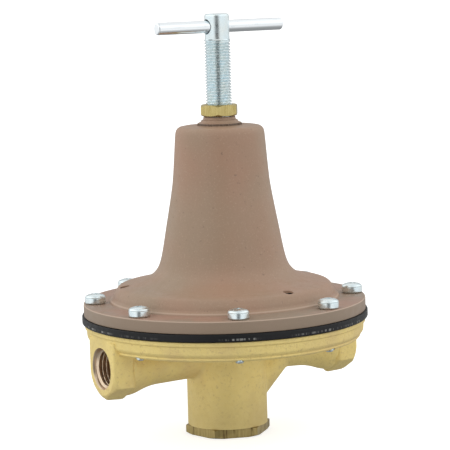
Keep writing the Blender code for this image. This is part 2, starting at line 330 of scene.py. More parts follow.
def helix_ripple(pitch, depth, low, high, fade, inside=False):
    """Cuts a right-hand V thread between two heights, running out over fade at each end."""

    def ripple(angles, radius, height):
        phase = (height / pitch - angles / math.tau) % 1.0
        # From 0 at the root to 1 at the crest
        tooth = np.clip(FLANK_SLOPE * np.abs(2 * phase - 1) - ROOT_FLAT, 0, 1)
        run = min(1.0, max(0.0, (height - low) / fade), max(0.0, (high - height) / fade))
        cut = depth * run * (1 - tooth)
        return radius + cut if inside else radius - cut

    return ripple


# ---------------------------------------------------------------- materials


def math_node(tree, operation, *values):
    """A Math node on numbers and other nodes' values."""
    node = tree.nodes.new("ShaderNodeMath")
    node.operation = operation
    for socket, value in zip(node.inputs, values):
        if isinstance(value, (int, float)):
            socket.default_value = value
        else:
            tree.links.new(value, socket)
    return node.outputs["Value"]


class Shader:
    """A material's node tree, with one short call for each kind of node used here."""

    def __init__(self, name, colour, roughness, metallic=0.0):
        self.material = bpy.data.materials.new(name)
        self.material.use_nodes = True
        self.tree = self.material.node_tree
        self.surface = self.tree.nodes["Principled BSDF"]
        self.surface.inputs["Base Color"].default_value = (*colour, 1)
        self.surface.inputs["Roughness"].default_value = roughness
        self.surface.inputs["Metallic"].default_value = metallic
        self.position = self.tree.nodes.new("ShaderNodeTexCoord").outputs["Object"]

    def stretched(self, x, y, z):
        mapping = self.tree.nodes.new("ShaderNodeMapping")
        mapping.inputs["Scale"].default_value = (x, y, z)
        self.tree.links.new(self.position, mapping.inputs["Vector"])
        return mapping.outputs["Vector"]

    def noise(self, scale, detail, rough=0.55, vector=None):
        node = self.tree.nodes.new("ShaderNodeTexNoise")
        node.inputs["Scale"].default_value = scale
        node.inputs["Detail"].default_value = detail
        node.inputs["Roughness"].default_value = rough
        self.tree.links.new(vector or self.position, node.inputs["Vector"])
        return node.outputs["Fac"]

    def ramp(self, factor, low, high, start=0.0, end=1.0):
        """Maps factor from low..high to start..end, clamped."""
        node = self.tree.nodes.new("ShaderNodeMapRange")
        node.inputs["From Min"].default_value = low
        node.inputs["From Max"].default_value = high
        node.inputs["To Min"].default_value = start
        node.inputs["To Max"].default_value = end
        self.tree.links.new(factor, node.inputs["Value"])
        return node.outputs["Result"]

    def math(self, operation, *values):
        return math_node(self.tree, operation, *values)

    def height(self):
        node = self.tree.nodes.new("ShaderNodeSeparateXYZ")
        self.tree.links.new(self.position, node.inputs["Vector"])
        return node.outputs["Z"]

    def band(self, middle, solid, edge, share=1.0):
        """share within solid millimetres of a height, fading to nothing at edge."""
        away = self.math("ABSOLUTE", self.math("SUBTRACT", self.height(), middle * MM))
        return self.ramp(away, solid * MM, edge * MM, share, 0)

    def mix(self, factor, first, second):
        """Mixes two colours, each a tuple or another node's colour."""
        node = self.tree.nodes.new("ShaderNodeMix")
        node.data_type = "RGBA"
        self.tree.links.new(factor, node.inputs["Factor"])
        colour_a, colour_b, mixed = node.inputs[6], node.inputs[7], node.outputs[2]
        for socket, value in ((colour_a, first), (colour_b, second)):
            if isinstance(value, tuple):
                socket.default_value = (*value, 1)
            else:
                self.tree.links.new(value, socket)
        return mixed

    def colour(self, value):
        self.tree.links.new(value, self.surface.inputs["Base Color"])

    def roughness(self, value):
        self.tree.links.new(value, self.surface.inputs["Roughness"])

    def bump(self, height, distance):
        """Distance is in millimetres. A second call adds to the first."""
        node = self.tree.nodes.new("ShaderNodeBump")
        node.inputs["Distance"].default_value = distance * MM
        node.inputs["Strength"].default_value = 1.0
        self.tree.links.new(height, node.inputs["Height"])
        if self.surface.inputs["Normal"].is_linked:
            earlier = self.surface.inputs["Normal"].links[0].from_socket
            self.tree.links.new(earlier, node.inputs["Normal"])
        self.tree.links.new(node.outputs["Normal"], self.surface.inputs["Normal"])


def bronze_coat():
    """A matte bronze-brown coat over a casting, a little redder or more olive from place to place."""
    shader = Shader("bronze_coat", (0.34, 0.24, 0.18), 0.5)
    shader.surface.inputs["Specular IOR Level"].default_value = 0.35
    drift = shader.ramp(shader.noise(22, 2), 0.38, 0.62)
    base = shader.mix(drift, (0.402, 0.246, 0.166), (0.362, 0.256, 0.175))
    fleck = shader.ramp(shader.noise(1300, 3, 0.7), 0.55, 0.75, 0, 0.5)
    skin = shader.mix(fleck, base, (0.53, 0.38, 0.28))
    pits = shader.ramp(shader.noise(620, 3, 0.6), 0.66, 0.72, 0, 0.5)
    skin = shader.mix(pits, skin, (0.16, 0.11, 0.08))
    # Painted shade: the rim's side and the bolt land are darkened by height, where less light falls on them
    rim = shader.ramp(shader.height(), 60.0 * MM, 60.6 * MM, 0.75, 0)
    land = shader.ramp(shader.height(), 61.1 * MM, 61.6 * MM, 0.8, 0)
    skin = shader.mix(shader.math("MAXIMUM", rim, land), skin, (0.29, 0.22, 0.16))
    patches = shader.ramp(shader.noise(40, 3), 0.42, 0.6, 0, 0.8)
    # Lays on the rubs, and the painted highlights along two edges, as height bands
    for middle, half, share, patchy, tint in RUBS_AND_PAINTED_HIGHLIGHTS_ON_BELL:
        band = shader.band(middle, 0.6 * half, half, share)
        skin = shader.mix(shader.math("MULTIPLY", band, patches) if patchy else band, skin, tint)
    top = low_high("bell_housing")[1][2]
    # Painted shade: a dark band round the toothed collar, as shadow between its teeth
    collar = shader.band(top - CROWN_DROP + COLLAR_RISE, 0.35, 0.55, 0.75)
    skin = shader.mix(collar, skin, (0.10, 0.07, 0.05))
    shader.colour(skin)
    shader.roughness(shader.ramp(shader.noise(260, 4), 0.3, 0.7, 0.38, 0.52))
    shader.bump(shader.noise(420, 5, 0.6), 0.10)
    shader.bump(shader.noise(2600, 3), 0.03)
    return shader.material


def shadowed_hole():
    """Painted shadow: the inside of a drilled vent, coloured near-black as if unlit."""
    shader = Shader("shadowed_hole", (0.02, 0.015, 0.012), 0.7)
    grain = shader.noise(900, 3)
    shader.colour(shader.mix(shader.ramp(grain, 0.3, 0.7), (0.012, 0.009, 0.007), (0.03, 0.022, 0.016)))
    return shader.material


def cast_brass():
    """Tumbled cast brass: soft satin with a grainy skin and faint darker and pinker stains."""
    shader = Shader("cast_brass", (0.84, 0.66, 0.27), 0.58, 0.35)
    drift = shader.ramp(shader.noise(60, 4, 0.6), 0.35, 0.68)
    base = shader.mix(drift, (0.92, 0.73, 0.28), (0.84, 0.665, 0.265))
    stain = shader.ramp(shader.noise(640, 5, 0.7), 0.55, 0.72, 0, 0.7)
    blush = shader.ramp(shader.noise(42, 3), 0.50, 0.66, 0, 0.40)
    skin = shader.mix(blush, shader.mix(stain, base, (0.60, 0.43, 0.19)), (0.70, 0.50, 0.24))
    # Painted shade: the casting darkens towards the bottom of the hub.
    foot = shader.ramp(shader.height(), 7 * MM, 26 * MM, 0.65, 0)
    shader.colour(shader.mix(foot, skin, (0.56, 0.43, 0.17)))
    shader.roughness(shader.ramp(shader.noise(420, 5), 0.3, 0.7, 0.50, 0.68))
    shader.bump(shader.noise(430, 6, 0.65), 0.32)
    shader.bump(shader.noise(1150, 4, 0.6), 0.14)
    return shader.material


def machined_brass():
    """The bright pinkish brass of freshly cut threads and bores."""
    shader = Shader("machined_brass", (0.60, 0.47, 0.34), 0.30, 1.0)
    rings = shader.noise(1, 3, vector=shader.stretched(5200, 300, 300))
    shader.colour(shader.mix(shader.ramp(rings, 0.35, 0.7), (0.76, 0.60, 0.44), (0.56, 0.43, 0.30)))
    shader.bump(rings, 0.02)
    return shader.material


def nut_brass():
    """Drawn yellow brass bar, with fine lines down its flats."""
    shader = Shader("yellow_brass", (0.78, 0.61, 0.22), 0.3, 1.0)
    lines = shader.noise(1, 4, vector=shader.stretched(2600, 2600, 160))
    shader.colour(shader.mix(shader.ramp(lines, 0.35, 0.7), (0.60, 0.485, 0.21), (0.42, 0.325, 0.115)))
    shader.roughness(shader.ramp(shader.noise(700, 4), 0.3, 0.7, 0.22, 0.40))
    shader.bump(lines, 0.03)
    return shader.material


def plug_brass():
    """Drawn hexagon bar, tarnished, with dark streaks down its flats."""
    shader = Shader("dark_brass", (0.50, 0.38, 0.15), 0.4, 1.0)
    streaks = shader.noise(1, 5, 0.7, vector=shader.stretched(420, 420, 40))
    lines = shader.noise(1, 4, vector=shader.stretched(2400, 2400, 120))
    base = shader.mix(shader.ramp(lines, 0.3, 0.7), (0.42, 0.32, 0.13), (0.24, 0.18, 0.07))
    shader.colour(shader.mix(shader.ramp(streaks, 0.54, 0.66, 0, 0.9), base, (0.10, 0.06, 0.025)))
    shader.roughness(shader.ramp(streaks, 0.4, 0.7, 0.32, 0.6))
    shader.bump(lines, 0.06)
    return shader.material


def zinc_plate():
    """Bright zinc plate with a bluish passivated film."""
    shader = Shader("zinc_plate", (0.76, 0.84, 0.87), 0.27, 1.0)
    film = shader.ramp(shader.noise(240, 4, 0.6), 0.35, 0.68)
    shader.colour(shader.mix(film, (0.75, 0.85, 0.885), (0.79, 0.84, 0.83)))
    shader.roughness(shader.ramp(shader.noise(900, 4), 0.3, 0.7, 0.22, 0.36))
    shader.bump(shader.noise(1500, 4), 0.02)
    return shader.material


def bright_steel():
    """Centreless-ground, plated bar: almost a mirror, with faint lines round it and the odd scuff."""
    shader = Shader("bright_steel", (0.86, 0.89, 0.91), 0.09, 1.0)
    rings = shader.noise(1, 3, vector=shader.stretched(3600, 250, 250))
    scuff = shader.ramp(shader.noise(1, 5, 0.7, vector=shader.stretched(90, 700, 700)), 0.58, 0.72)
    shader.colour(shader.mix(scuff, (0.87, 0.90, 0.92), (0.72, 0.77, 0.80)))
    shader.roughness(shader.ramp(scuff, 0, 1, 0.09, 0.30))
    shader.bump(rings, 0.006)
    return shader.material


def spring_steel():
    shader = Shader("spring_steel", (0.42, 0.43, 0.45), 0.32, 1.0)
    grain = shader.noise(700, 5, 0.65)
    shader.colour(shader.mix(shader.ramp(grain, 0.35, 0.7), (0.48, 0.49, 0.51), (0.30, 0.30, 0.31)))
    shader.roughness(shader.ramp(grain, 0.3, 0.7, 0.25, 0.42))
    shader.bump(grain, 0.02)
    return shader.material


def diaphragm_rubber():
    """Black rubber whose cut edge shows pale ends of its woven fabric in two thin rows."""
    shader = Shader("black_rubber", (0.007, 0.007, 0.008), 0.5)
    shader.surface.inputs["Specular IOR Level"].default_value = 0.3
    bottom = low_high("diaphragm")[0][2]
    rows = [shader.band(bottom + share * (SHEET_TOP - bottom), 0.07, 0.16) for share in (0.28, 0.42)]
    row = shader.math("MAXIMUM", *rows)
    threads = shader.ramp(shader.noise(1, 3, 0.6, vector=shader.stretched(760, 760, 60)), 0.49, 0.57)
    patches = shader.ramp(shader.noise(45, 2), 0.40, 0.56, 0, 0.85)
    mask = shader.math("MULTIPLY", shader.math("MULTIPLY", row, threads), patches)
    shader.colour(shader.mix(mask, (0.007, 0.007, 0.008), (0.50, 0.49, 0.46)))
    shader.roughness(shader.ramp(shader.noise(800, 4), 0.3, 0.7, 0.42, 0.62))
    shader.bump(shader.noise(900, 4, 0.7), 0.06)
    return shader.material


def plain_rubber():
    shader = Shader("seal_rubber", (0.02, 0.02, 0.022), 0.6)
    grain = shader.noise(1200, 4)
    shader.colour(shader.mix(shader.ramp(grain, 0.3, 0.7), (0.016, 0.016, 0.018), (0.035, 0.035, 0.037)))
    shader.bump(grain, 0.03)
    return shader.material


def gasket_fibre():
    shader = Shader("gasket_fibre", (0.30, 0.16, 0.10), 0.85)
    fibres = shader.noise(1, 6, 0.75, vector=shader.stretched(900, 2400, 900))
    shader.colour(shader.mix(shader.ramp(fibres, 0.3, 0.7), (0.36, 0.20, 0.13), (0.20, 0.10, 0.06)))
    shader.bump(fibres, 0.05)
    return shader.material


# ---------------------------------------------------------------- the object's pieces


def bolt_places():
    """Each cover screw's number and place."""
    for k in range(BOLT_COUNT):
        degrees = BOLT_START + k * 360 / BOLT_COUNT
        angle = math.radians(degrees)
        yield k + 1, BOLT_CIRCLE_R * math.cos(angle), BOLT_CIRCLE_R * math.sin(angle)


def bolt_holes(low, high):
    """Eight cutters in one object."""
    shape = bmesh.new()
    radius = BOLT_HOLE_R
    for _, x, y in bolt_places():
        move = Matrix.Translation(Vector((x, y, (low + high) / 2)) * MM)
        bmesh.ops.create_cone(
            shape, cap_ends=True, segments=32, radius1=radius * MM, radius2=radius * MM,
            depth=(high - low) * MM, matrix=move,
        )
    mesh = bpy.data.meshes.new("bolt_holes")
    shape.to_mesh(mesh)
    shape.free()
    face_out(mesh)
    return link("bolt_holes", mesh)


def bell(coat, dark):
    """The spring housing. Its crown has a stepped collar with fine teeth pressed round the foot."""
    low, high = low_high("bell_housing")
    rim_r, bottom, top = high[0], low[2], high[2]
    crown = top - CROWN_DROP
    land = bottom + 5.5
    lip = top + 0.24  # closes most of the gap to the lock nut
    outside = arc_corners([
        (49.5, bottom), (rim_r, bottom, 0.35), (rim_r, land, 0.9), (51.9, land, 0.35),
        (51.4, land + 0.95, 0.4), (50.1, land + 2.1),
    ])[:-1]
    outside += curve_through([
        (50.1, land + 2.1), (49.2, 65.2), (47.4, 67.6), (44.2, 68.5), (40.5, 69.15), (36.5, 70.45),
        (31.6, 73.2), (28.2, 79.2), (25.0, 95.5), (22.4, 110.0), (21.4, 118.0), (20.3, 132.0),
    ])[:-1]
    outside += arc_corners([
        (20.3, 132.0), (19.7, crown, 3.2), (11.0, crown + 0.35, 0.5), (10.0, crown + 0.45),
        (9.6, crown + 1.5, 0.25), (8.5, crown + 1.9, 0.3), (8.1, crown + 2.7, 0.3), (7.3, crown + 3.0, 0.3),
        (7.15, lip, 0.3), (5.9, lip, 0.2), (5.9, 133.2), (16.4, 133.2, 1.5), (17.2, 116.0, 4),
        (25.0, 76.5, 4), (28.5, 71.0, 3), (35.5, 67.0, 3), (44.0, 64.8, 2), (47.4, 62.4, 2),
    ])

    def teeth(angles, radius, height):
        """Square teeth round the collar, strongest at the middle of its height."""
        if not 8.9 < radius < 12:
            return np.full(len(angles), radius)
        share = math.exp(-(((height - crown - 0.75) / 0.55) ** 2))
        return radius + 0.32 * share * np.sign(np.cos(COLLAR_TEETH * angles))

    piece = paint(lathe("spring_housing", outside, FINE_ROUND, ripple=teeth), coat)
    for k in range(VENT_COUNT):
        angle = math.radians(VENT_START + k * 360 / VENT_COUNT)
        flat = paint(lathe("flat", [(0, 67.75), (2.3, 67.75), (2.3, 75), (0, 75)], 48), coat)
        # The vent's bore is coloured with the painted-shadow material; its spot-face keeps the coat.
        vent = paint(lathe("vent", [(0, 58), (1.95, 58), (1.95, 70), (0, 70)], 48), dark)
        for cutter in (flat, vent):
            place(cutter, VENT_CIRCLE_R * math.cos(angle), VENT_CIRCLE_R * math.sin(angle))
            combine(piece, cutter, "DIFFERENCE", "MANIFOLD")
    combine(piece, bolt_holes(54, 63), "DIFFERENCE", "MANIFOLD")
    return dress(piece, coat, "housing", "bell_housing", "bronze_coat")


def diaphragm(rubber):
    """A disc with one raised convolution, its rim thick enough to leave no gap under the bell."""
    low, high = low_high("diaphragm")
    bottom, radius = low[2], high[0]
    rim_top = SHEET_TOP + 0.2
    outline = arc_corners([
        (3.3, bottom), (radius, bottom, 0.5), (radius, rim_top, 0.5), (48.6, SHEET_TOP), (46.4, 56.6, 1.5),
        (43.9, SHEET_TOP), (3.3, SHEET_TOP),
    ])

    def uneven(angles, r, z):
        """The rim was cut by hand, so its edge wavers a little inwards."""
        if r < 60:
            return np.full(len(angles), r)
        wave = np.sin(3 * angles + 1) + 0.6 * np.sin(7 * angles) + 0.35 * np.sin(19 * angles + 2)
        return r - 0.06 * (1.95 + wave)

    piece = lathe("diaphragm_sheet", outline, FINE_ROUND, ripple=uneven)
    combine(piece, bolt_holes(50, 58), "DIFFERENCE", "MANIFOLD")
    dress(piece, rubber, None, "diaphragm", "black_rubber")
    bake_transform(piece)


def port_cutter(side, machined):
    """The bore of one port: a chamfered mouth, a smooth lead-in, a tapered thread, and the passage behind."""
    end = 10.0 if side < 0 else 24.0
    thread_start, thread_end = 46.6, PORT_FACE - 2.3
    crest_r = 8.75 - PIPE_THREAD_DEPTH
    outline = [(0, end), (5.0, end), (5.0, 43.0), (6.6, 45.6)]
    inner = (crest_r - PIPE_TAPER * (thread_end - thread_start), thread_start)
    outline += straight(inner, (crest_r, thread_end), THREAD_STEP)
    outline += [
        (crest_r, thread_end), (8.72, thread_end + 0.75), (8.85, PORT_FACE - 0.6), (9.3, PORT_FACE),
        (10.4, PORT_FACE + 1.2), (0, PORT_FACE + 1.2),
    ]
    ripple = helix_ripple(PIPE_PITCH, PIPE_THREAD_DEPTH, thread_start, PORT_FACE, 1.6, inside=True)

    def thread_only(angles, radius, height):
        if not thread_start <= height <= thread_end:
            return np.full(len(angles), radius)
        return ripple(angles, radius, height)

    cutter = lathe("port_cutter", outline, 96, ripple=thread_only, along_x=side)
    place(cutter, z=PORT_Z)
    return paint(cutter, machined)


def body_core(brass):
    """The rough casting under the flange, melted together so that its junctions have fillets."""
    parts = [lathe("hub", [(0, 2.0), (18.04, 2.0), (18.04, 46.0), (0, 46.0)])]
    for side in (1, -1):
        skirt = [(9.1, 6.0), (9.2, 20.0), (9.5, 31.0), (9.9, 39.0), (11.0, 44.0), (12.5, 48.5), (13.2, 52.5)]
        neck = [(0, 6.0), *curve_through(skirt, 6), (0, 52.5)]
        parts.append(place(lathe("neck", neck, along_x=side), z=PORT_Z))
        start, end = sorted((side * 9.0, side * 52.0))
        section = [(-9.1, PORT_Z), (9.1, PORT_Z), (9.6, 46.0), (-9.6, 46.0)]
        parts.append(prism("web", section, start, end, along_x=True))
    gusset = lathe("gusset", [(0, -24.0), (9.3, -24.0), (9.3, 9.0), (0, 9.0)])
    parts.append(place(gusset, 22.3, 0, 32.0, turn_y=PASSAGE_SLOPE))
    core = parts[0]
    bpy.ops.object.select_all(action="DESELECT")
    for part in parts:
        part.select_set(True)
    bpy.context.view_layer.objects.active = core
    bpy.ops.object.join()
    remesh = core.modifiers.new("Melt", "REMESH")
    remesh.mode = "VOXEL"
    remesh.voxel_size = 0.6 * MM
    smooth = core.modifiers.new("Fillet", "SMOOTH")
    smooth.factor = 0.5
    smooth.iterations = 14
    bake(core)
    return paint(core, brass)


def body(brass, machined):
    """The casting: core, flange and port bosses joined, then bored, threaded and drilled."""
    low, high = low_high("body")
    hub_bottom, rim_top = low[2], high[2]
    core = body_core(brass)
    flange = arc_corners([
        (17.0, 42.8), (58.9, 42.8, 0.4), (60.2, 42.9, 0.5), (61.0, 43.8, 0.4), (60.8, 44.4, 0.2),
        (62.3, 45.9, 0.9), (62.5, 49.5, 0.2), (63.2, 49.95, 0.3), (63.2, rim_top, 0.3), (50.0, rim_top, 0.4),
        (49.0, 46.4, 0.6), (9.0, 46.4), (9.0, 42.8),
    ])
    combine(core, paint(lathe("flange", flange, FINE_ROUND), brass), "UNION", "MANIFOLD")
    for side in (1, -1):
        combine(core, paint(port_boss(side), brass), "UNION", "MANIFOLD")
    valve_bore = [
        (0, -1), (30, -1), (30, hub_bottom), (16.2, hub_bottom), (16.2, 5.9), (14.25, 5.9), (14.25, 10.6),
        (13.4, 10.6), (13.4, 26.5), (7.4, 26.5), (7.4, 29.8), (11.5, 29.8), (11.5, 47.5), (0, 47.5),
    ]
    passage = lathe("passage", [(0, -11), (4, -11), (4, 12), (0, 12)], 64)
    cutters = [
        paint(lathe("valve_bore", valve_bore), machined),
        port_cutter(1, machined),
        port_cutter(-1, machined),
        paint(place(passage, 20.5, 0, 27.2, turn_y=PASSAGE_SLOPE), machined),
        paint(bolt_holes(40, 54), machined),
    ]
    for cutter in cutters:
        combine(core, cutter, "DIFFERENCE", "MANIFOLD")
    core.name = "valve_body"
    return dress(core, brass, "housing", "body", "cast_brass", sharp=38)


def port_boss(side):
    """Half a wrench hexagon with a rounded low corner, carried square up into the flange.

    Both ends are rounded over. The mouth is turned off round the port's axis, and the low half has draft.
    """
    half = 12.6  # to a flat
    corner = half / math.cos(math.radians(30))
    low_side = half * math.tan(math.radians(30))
    back, back_r, face_r = 50.9, 2.8, 1.3
    corners = arc_corners([
        (half, 13.0), (half, -low_side, 0.5), (0.0, -corner, 1.9), (-half, -low_side, 0.5), (-half, 13.0),
    ], 6)
    dense = []
    for first, second in zip(corners, corners[1:]):
        dense += straight(first, second, 0.8)
    corners = [*dense, corners[-1]]
    quarter = [math.radians(15 * step) for step in range(7)]
    rings = [(back + back_r * (1 - math.cos(t)), back_r * (1 - math.sin(t))) for t in quarter]
    rings += [(PORT_FACE - 2.6, 0.0), (PORT_FACE - 2.0, 0.0)]
    rings += [(PORT_FACE - face_r * (1 - math.sin(t)), face_r * (1 - math.cos(t))) for t in quarter]
    verts, count = [], len(corners)
    for along, inset in rings:
        depth = PORT_FACE - along
        turned_r = min(12.3 + 0.9 * depth, 15.6) * (1 - inset / half / 2)
        for y, z in corners:
            draft = 0.004 * depth * min(max(-z / 10, 0), 1)
            scale = (1 - inset / half) * (1 + draft)
            if z < 2:
                scale = min(scale, turned_r / math.hypot(y, z))
            verts.append((side * along, y * scale, PORT_Z + z * scale))
    faces = [list(range(count)), list(range(len(verts) - count, len(verts)))]
    for ring in range(0, len(verts) - count, count):
        for k in range(count):
            following = (k + 1) % count
            faces.append([ring + k, ring + following, ring + following + count, ring + k + count])
    mesh = bpy.data.meshes.new("port_boss")
    mesh.from_pydata([Vector(v) * MM for v in verts], [], faces)
    face_out(mesh)
    return link("port_boss", mesh)


def cover_screw(number, x, y, zinc):
    """Pan head with a cross recess; its threaded tip shows under the flange."""
    low, high = low_high(f"cover_screw_{number}")
    seat, top, tip = HEAD_SEAT, high[2] + 0.25, low[2] + 0.4
    shank_r, thread_top = 2.41, 49.0
    outline = [(0, tip), (1.5, tip)]
    outline += straight((2.0, tip + 0.5), (shank_r, tip + 0.9), THREAD_STEP)
    outline += straight((shank_r, tip + 0.9), (shank_r, thread_top), THREAD_STEP) + [(shank_r, thread_top)]
    outline += arc_corners([
        (shank_r, seat), (4.10, seat, 0.1), (4.62, seat + 0.55, 0.2), (4.60, seat + 2.9, 0.3),
    ])
    outline += curve_through([(4.55, seat + 3.1), (3.95, seat + 3.8), (2.4, top - 0.12), (0.9, top)], 5)
    outline += [(0, top)]
    ripple = helix_ripple(COVER_PITCH, COVER_THREAD_DEPTH, tip, thread_top, 0.7)

    def tip_thread(angles, radius, height):
        if height > thread_top or not 1.6 < radius < 2.5:
            return np.full(len(angles), radius)
        return ripple(angles, radius, height)

    piece = lathe(f"pan_screw_{number}", outline, 64, ripple=tip_thread)
    arm = [(1.95, -0.40), (1.95, 0.40), (0.5, 0.5)]
    cross = [(a * c - b * s, a * s + b * c) for c, s in ((1, 0), (0, 1), (-1, 0), (0, -1)) for a, b in arm]
    recess = prism("recess", cross, top - 2.6, top + 0.5, shrink_low=0.45)
    combine(piece, place(recess, turn_z=17 + 31 * number), "DIFFERENCE")
    place(piece, x, y)
    return dress(piece, zinc, "housing", f"cover_screw_{number}", "zinc_plate")


def adjusting_screw(zinc):
    """A long threaded screw with a plain, cross-drilled head."""
    low, high = low_high("adjusting_screw")
    radius, bottom, top = high[0], low[2], high[2]
    thread_top = 177.3
    crest = radius + 0.3
    outline = [(0, bottom), (2.2, bottom)]
    outline += straight((4.4, bottom + 1.2), (crest, bottom + 2.2), THREAD_STEP)
    outline += straight((crest, bottom + 2.2), (crest, thread_top), THREAD_STEP)
    head_r = radius - 0.05
    outline += arc_corners([(head_r, thread_top + 0.3), (head_r, top, 1.25), (0, top)], 6)
    ripple = helix_ripple(SCREW_PITCH, SCREW_THREAD_DEPTH, bottom, thread_top, 1.0)

    def thread_only(angles, r, z):
        if z > thread_top or r < 4.3:
            return np.full(len(angles), r)
        return ripple(angles, r, z)

    piece = lathe("screw_spindle", outline, 96, ripple=thread_only)
    hole = arc_corners([(0, -8), (4.4, -8), (3.06, -4.6), (3.06, 4.6), (4.4, 8), (0, 8)])
    bar_low, bar_high = low_high("t_bar")
    cutter = place(lathe("cross_hole", hole, 64, along_x=1), z=(bar_low[2] + bar_high[2]) / 2)
    combine(piece, cutter, "DIFFERENCE", "MANIFOLD")
    return dress(piece, zinc, "screw", "adjusting_screw", "zinc_plate")


def t_bar(steel):
    low, high = low_high("t_bar")
    radius = (high[2] - low[2]) / 2
    half = (high[0] - low[0]) / 2
    outline = arc_corners([
        (0, -half), (radius - 0.5, -half, 0.3), (radius, -half + 0.55, 0.4), (radius, half - 0.55, 0.4),
        (radius - 0.5, half, 0.3), (0, half),
    ])
    piece = lathe("handle_bar", outline, 96, along_x=1)
    place(piece, (high[0] + low[0]) / 2, 0, (high[2] + low[2]) / 2)
    return dress(piece, steel, "screw", "t_bar", "bright_steel")


def hex_nut(name, node, body_name, across, turn, bore_r, material):
    """A nut cut from hexagon bar, its corners turned off at 30 degrees and its edges broken."""
    low, high = low_high(node)
    bottom, top = low[2], high[2]
    piece = bevel(prism(name, hexagon(across, turn), bottom, top), 0.12)
    face_r, corner_r = across / 2 * 0.965, across / math.sqrt(3) + 0.4
    drop = (corner_r - face_r) * math.tan(math.radians(30))
    sink_r = bore_r + 0.6
    turning = lathe("turning", [
        (sink_r, bottom - 0.2), (face_r, bottom - 0.2), (face_r, bottom), (corner_r, bottom + drop),
        (corner_r, top - drop), (face_r, top), (face_r, top + 0.2), (sink_r, top + 0.2), (sink_r, top),
        (bore_r, top - 0.6), (bore_r, bottom + 0.6), (sink_r, bottom),
    ])
    combine(piece, turning, "INTERSECT", "MANIFOLD")
    return dress(piece, material, body_name, node, "yellow_brass", sharp=24)


def bottom_plug(brass):
    """A hexagon-headed plug whose threaded, hollow barrel guides the stem and seats the bottom spring."""
    low, high = low_high("bottom_plug")
    bottom, top, head_top = low[2], high[2], 4.15
    head = bevel(prism("plug", hexagon(33.8, -16.0), bottom, head_top), 0.25)
    turning = lathe("turning", [
        (0, bottom - 0.2), (17.6, bottom - 0.2), (17.6, bottom), (19.9, bottom + 1.1), (19.9, head_top + 0.2),
        (0, head_top + 0.2),
    ])
    combine(head, turning, "INTERSECT", "MANIFOLD")
    barrel_r, thread_start = 13.9, 5.6
    barrel = [(0, 3.0), (13.0, 3.0)] + straight((barrel_r, 3.8), (barrel_r, top - 1.0), THREAD_STEP)
    barrel += [
        (barrel_r, top - 1.0), (13.0, top), (9.5, top), (9.5, 4.6), (4.2, 4.6), (4.2, 10.0), (2.6, 10.0),
        (2.6, 3.4), (0, 3.4),
    ]
    ripple = helix_ripple(PLUG_PITCH, PLUG_THREAD_DEPTH, thread_start, top - 1.0, 0.8)

    def barrel_thread(angles, r, z):
        if not 13.5 < r < 14.0 or z <= thread_start:
            return np.full(len(angles), r)
        return ripple(angles, r, z)

    combine(head, lathe("barrel", barrel, 96, ripple=barrel_thread), "UNION", "MANIFOLD")
    head.name = "hex_plug"
    return dress(head, brass, "housing", "bottom_plug", "dark_brass", sharp=24)


def coil(name, node, wire_r, turns, steel):
    """A round-wire compression spring."""
    low, high = low_high(node)
    mean_r = high[0] - wire_r
    first, last = low[2] + wire_r, high[2] - wire_r
    close = 2 * wire_r + 0.25
    pitch = (last - first - 2 * close) / (turns - 2)
    per_turn = 40
    curve = bpy.data.curves.new(name, "CURVE")
    curve.dimensions = "3D"
    curve.bevel_depth = wire_r * MM
    curve.bevel_resolution = 6
    curve.use_fill_caps = True
    spline = curve.splines.new("POLY")
    spline.points.add(turns * per_turn)
    for k, point in enumerate(spline.points):
        turn = k / per_turn
        open_turns = min(max(turn - 1, 0), turns - 2)
        z = first + close * (min(turn, 1) + max(turn - turns + 1, 0)) + pitch * open_turns
        angle = turn * math.tau
        point.co = (mean_r * math.cos(angle) * MM, mean_r * math.sin(angle) * MM, z * MM, 1)
    spring = link(name, curve)
    graph = bpy.context.evaluated_depsgraph_get()
    mesh = bpy.data.meshes.new_from_object(spring.evaluated_get(graph))
    bpy.data.objects.remove(spring)
    face_out(mesh, 1e-6)
    spring = dress(link(name, mesh), steel, "housing", node, "spring_steel")
    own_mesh(spring)


